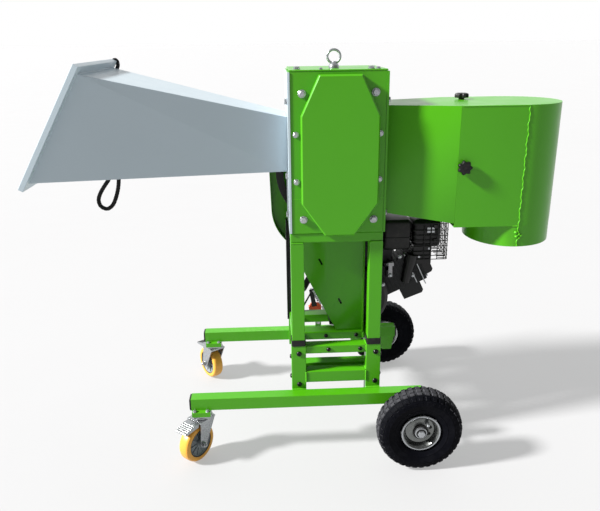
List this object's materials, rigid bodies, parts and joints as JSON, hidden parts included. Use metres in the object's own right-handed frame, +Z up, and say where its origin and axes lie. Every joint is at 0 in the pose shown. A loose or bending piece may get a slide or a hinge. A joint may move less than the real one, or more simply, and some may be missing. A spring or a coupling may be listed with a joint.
{
  "type": "wood chipper",
  "caption": "Petrol garden wood chipper on a wheeled tube frame: folded feed hopper, geared cutting unit, belt drive and a chip hood with a round outlet.",
  "frame": {"origin": "centre of the overall bounding box in plan, on the ground under the wheels", "axes": "+X runs from the feed hopper towards the discharge hood, +Z is up, and -Y is the side of the gear cover"},
  "size_m": [1.5555, 0.773, 1.2572],
  "materials": {
    "green_paint": "gloss",
    "grey_paint": "satin",
    "zinc": "satin",
    "steel": "satin",
    "black_paint": "gloss",
    "black_plastic": "matte",
    "rubber": "matte",
    "tyre": "matte",
    "polyurethane": "satin",
    "aluminium": "matte",
    "rope_fibre": "matte"
  },
  "bodies": {
    "chipper": {"air_cleaner": "black_plastic", "base_beam_front": "green_paint", "base_beam_rear": "green_paint", "belt_guard": "green_paint", "cross_rail_front": "green_paint", "cross_rail_middle": "green_paint", "cross_rail_rear": "green_paint", "cylinder_head": "aluminium", "discharge_duct": "green_paint", "drive_belt": "rubber", "engine_block": "aluminium", "fan_cover": "black_paint", "feed_flange": "green_paint", "feed_hopper": "grey_paint", "feed_rope": "rope_fibre", "fuel_tank": "black_paint", "gear_cover": "green_paint", "housing_shell": "green_paint", "leg_left": "green_paint", "leg_right": "green_paint", "lifting_eye": "zinc", "lower_bar_front": "green_paint", "lower_tie": "green_paint", "muffler": "black_paint", "post_left": "black_paint", "post_right": "black_paint", "shield_plate": "green_paint", "side_rail_left": "green_paint", "side_rail_right": "green_paint", "top_bar_front": "green_paint", "top_bar_left": "green_paint", "top_bar_rear": "green_paint", "top_bar_right": "green_paint", "top_plate": "green_paint"},
    "lower_rotor": {"lower_rotor": "steel", "lower_gear": "steel", "driven_pulley": "green_paint"},
    "upper_rotor": {"upper_rotor": "steel", "upper_gear": "steel"},
    "crank": {"engine_pulley": "steel"},
    "hood": {"deflector": "green_paint"},
    "knob_top": {"knob_top": "black_plastic"},
    "knob_front": {"knob_front": "black_plastic"},
    "wheel_front": {"tyre_front": "tyre", "rim_front": "zinc"},
    "wheel_rear": {"tyre_rear": "tyre", "rim_rear": "zinc"},
    "idler": {"idler_arm": "black_paint"},
    "tension_lever": {"tension_lever": "black_paint"},
    "starter_handle": {"starter_handle": "black_plastic"},
    "throttle": {"throttle_lever": "steel"},
    "stop_switch": {"engine_switch": "black_plastic"},
    "fuel_cap": {"fuel_cap": "black_plastic"},
    "fork_front": {"caster_fork_front": "zinc"},
    "caster_front": {"caster_wheel_front": "polyurethane"},
    "pedal_front": {"brake_pedal_front": "zinc"},
    "fork_rear": {"caster_fork_rear": "zinc"},
    "caster_rear": {"caster_wheel_rear": "polyurethane"},
    "pedal_rear": {"brake_pedal_rear": "zinc"}
  },
  "joints": [
    {"name": "crank_spin", "type": "hinge", "parent": "chipper", "child": "crank", "pos_m": [0.17575, 0.12, 0.468], "axis": [0, 1, 0], "continuous": true},
    {"name": "lower_rotor_spin", "type": "hinge", "parent": "chipper", "child": "lower_rotor", "pos_m": [0.09975, -0.097, 0.854], "axis": [0, 1, 0], "continuous": true},
    {"name": "upper_rotor_spin", "type": "hinge", "parent": "chipper", "child": "upper_rotor", "pos_m": [0.09975, -0.097, 1.07], "axis": [0, 1, 0], "continuous": true},
    {"name": "hood_slide", "type": "slide", "parent": "chipper", "child": "hood", "axis": [1, 0, 0], "range_m": [0, 0.05]},
    {"name": "knob_top_turn", "type": "hinge", "parent": "hood", "child": "knob_top", "pos_m": [0.49775, -0.035, 1.1], "axis": [0, 0, 1], "continuous": true},
    {"name": "knob_front_turn", "type": "hinge", "parent": "hood", "child": "knob_front", "pos_m": [0.45975, -0.234, 0.927], "axis": [0, 1, 0], "continuous": true},
    {"name": "wheel_front_roll", "type": "hinge", "parent": "chipper", "child": "wheel_front", "pos_m": [0.34175, -0.344, 0.133], "axis": [0, 1, 0], "continuous": true},
    {"name": "wheel_rear_roll", "type": "hinge", "parent": "chipper", "child": "wheel_rear", "pos_m": [0.34175, 0.344, 0.133], "axis": [0, 1, 0], "continuous": true},
    {"name": "lever_swing", "type": "hinge", "parent": "chipper", "child": "tension_lever", "pos_m": [0.07075, 0.2405, 0.24], "axis": [0, 1, 0], "range_deg": [0, 75]},
    {"name": "idler_swing", "type": "hinge", "parent": "chipper", "child": "idler", "pos_m": [0.00575, 0.0945, 0.432], "axis": [0, 1, 0], "range_deg": [0, 4]},
    {"name": "starter_pull", "type": "slide", "parent": "chipper", "child": "starter_handle", "axis": [0, 0, 1], "range_m": [0, 0.12], "stiffness_N_per_m": 40, "springref_m": -0.15},
    {"name": "throttle_swing", "type": "hinge", "parent": "chipper", "child": "throttle", "pos_m": [0.28775, -0.072, 0.54], "axis": [0, 1, 0], "range_deg": [-25, 25]},
    {"name": "switch_turn", "type": "hinge", "parent": "chipper", "child": "stop_switch", "pos_m": [0.23575, -0.107, 0.508], "axis": [0, 1, 0], "range_deg": [0, 90]},
    {"name": "fuel_cap_turn", "type": "hinge", "parent": "chipper", "child": "fuel_cap", "pos_m": [0.13775, -0.03, 0.698], "axis": [0, 0, 1], "range_deg": [0, 90]},
    {"name": "swivel_front", "type": "hinge", "parent": "chipper", "child": "fork_front", "pos_m": [-0.33725, -0.242, 0.148], "axis": [0, 0, 1], "continuous": true},
    {"name": "caster_front_roll", "type": "hinge", "parent": "fork_front", "child": "caster_front", "pos_m": [-0.3588, -0.26958, 0.0625], "axis": [0.788, -0.6157, 0], "continuous": true},
    {"name": "brake_front", "type": "hinge", "parent": "fork_front", "child": "pedal_front", "pos_m": [-0.36742, -0.28061, 0.132], "axis": [0.788, -0.6157, 0], "range_deg": [0, 12]},
    {"name": "swivel_rear", "type": "hinge", "parent": "chipper", "child": "fork_rear", "pos_m": [-0.33725, 0.242, 0.148], "axis": [0, 0, 1], "continuous": true},
    {"name": "caster_rear_roll", "type": "hinge", "parent": "fork_rear", "child": "caster_rear", "pos_m": [-0.35733, 0.27067, 0.0625], "axis": [-0.8192, -0.5736, 0], "continuous": true},
    {"name": "brake_rear", "type": "hinge", "parent": "fork_rear", "child": "pedal_rear", "pos_m": [-0.36536, 0.28214, 0.132], "axis": [-0.8192, -0.5736, 0], "range_deg": [0, 12]}
  ],
  "couplings": [
    {"joint": "lower_rotor_spin", "follows": "crank_spin", "ratio": 0.236},
    {"joint": "upper_rotor_spin", "follows": "crank_spin", "ratio": -0.236},
    {"joint": "idler_swing", "follows": "lever_swing", "ratio": 0.05}
  ]
}
